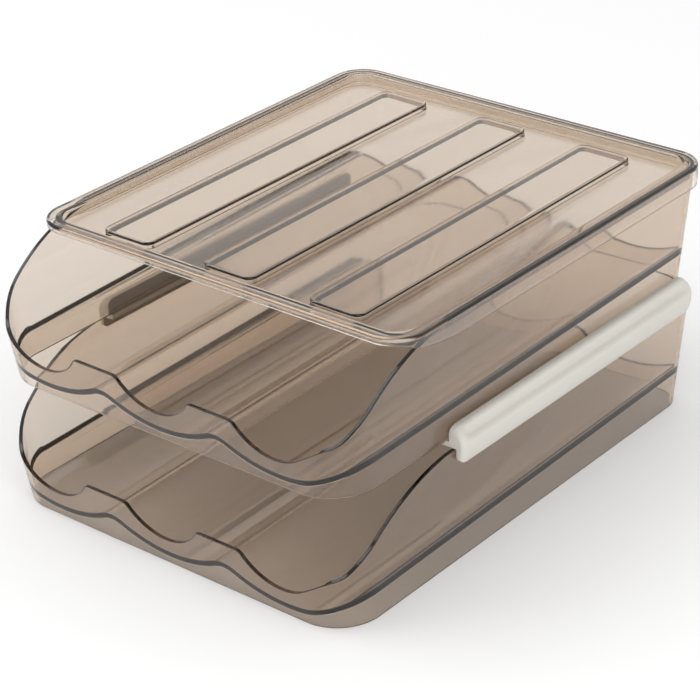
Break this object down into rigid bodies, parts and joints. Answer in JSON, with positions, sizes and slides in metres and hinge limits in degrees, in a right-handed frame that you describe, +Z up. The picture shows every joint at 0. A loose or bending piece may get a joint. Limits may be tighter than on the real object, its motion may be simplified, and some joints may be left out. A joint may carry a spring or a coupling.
{
  "type": "egg box",
  "caption": "Clear two-tier storage box with an open scalloped front, sloping channelled floors, a lift-off lid and side joining rails.",
  "frame": {"origin": "middle of the footprint's bounding box, on the surface it stands on", "axes": "+Z up, -Y towards the open front, +X to the right as seen from the front"},
  "size_m": [0.2384, 0.296, 0.1372],
  "materials": {
    "smoke_plastic": "clear, smoky brown, polished moulding",
    "white_plastic": "satin white moulding"
  },
  "bodies": {
    "lower_tier": {"lower_box": "smoke_plastic"},
    "upper_tier": {"upper_box": "smoke_plastic"},
    "lid": {"lid": "smoke_plastic"},
    "rail_right": {"right_rail": "white_plastic"},
    "rail_left": {"left_rail": "white_plastic"}
  },
  "joints": [
    {"name": "upper_tier_lift", "type": "slide", "parent": "lower_tier", "child": "upper_tier", "axis": [0, 0, 1], "range_m": [0, 0.06]},
    {"name": "lid_lift", "type": "slide", "parent": "upper_tier", "child": "lid", "axis": [0, 0, 1], "range_m": [0, 0.04]},
    {"name": "right_rail_pull", "type": "slide", "parent": "lower_tier", "child": "rail_right", "axis": [1, 0, 0], "range_m": [0, 0.04]},
    {"name": "left_rail_pull", "type": "slide", "parent": "lower_tier", "child": "rail_left", "axis": [-1, 0, 0], "range_m": [0, 0.04]}
  ]
}
